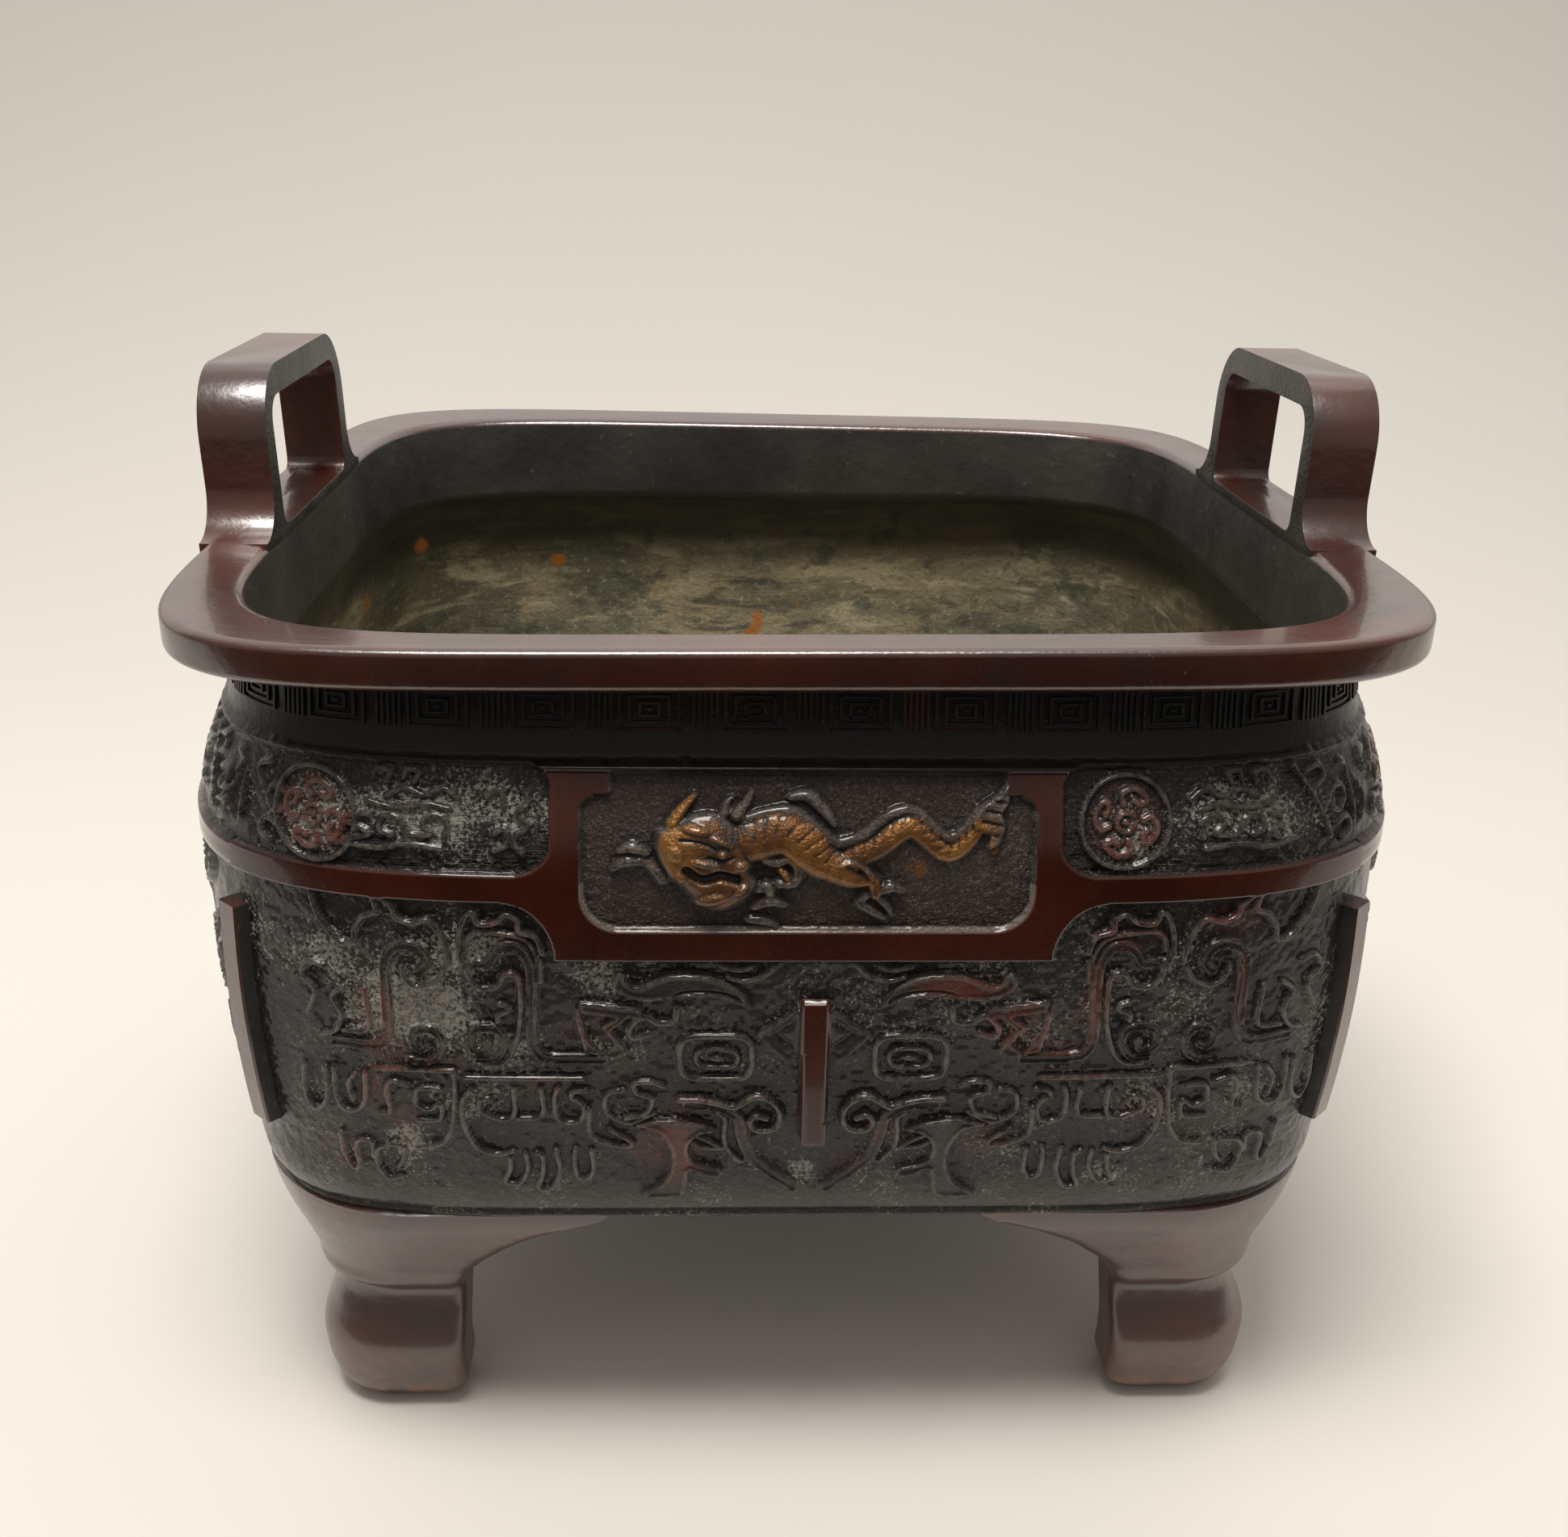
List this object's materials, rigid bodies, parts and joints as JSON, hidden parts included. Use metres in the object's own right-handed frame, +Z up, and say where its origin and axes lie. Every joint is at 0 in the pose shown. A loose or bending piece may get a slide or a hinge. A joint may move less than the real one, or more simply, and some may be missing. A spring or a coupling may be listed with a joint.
{
  "type": "square bronze ding",
  "caption": "Square footed bronze censer with flat everted rim, upright loop handles, bulbous feet, mask and dragon relief, cast in one piece.",
  "frame": {"origin": "on the ground under the middle of the vessel", "axes": "+Z up, front (dragon cartouche) towards -Y, handles on -X and +X"},
  "size_m": [0.2864, 0.2852, 0.2438],
  "materials": {
    "bronze": "dark oxblood patinated bronze, polished on rim, handles, straps and feet, near black in the relief, rubbed gilding on the dragon"
  },
  "bodies": {
    "root": {"ding": "bronze"}
  },
  "joints": []
}
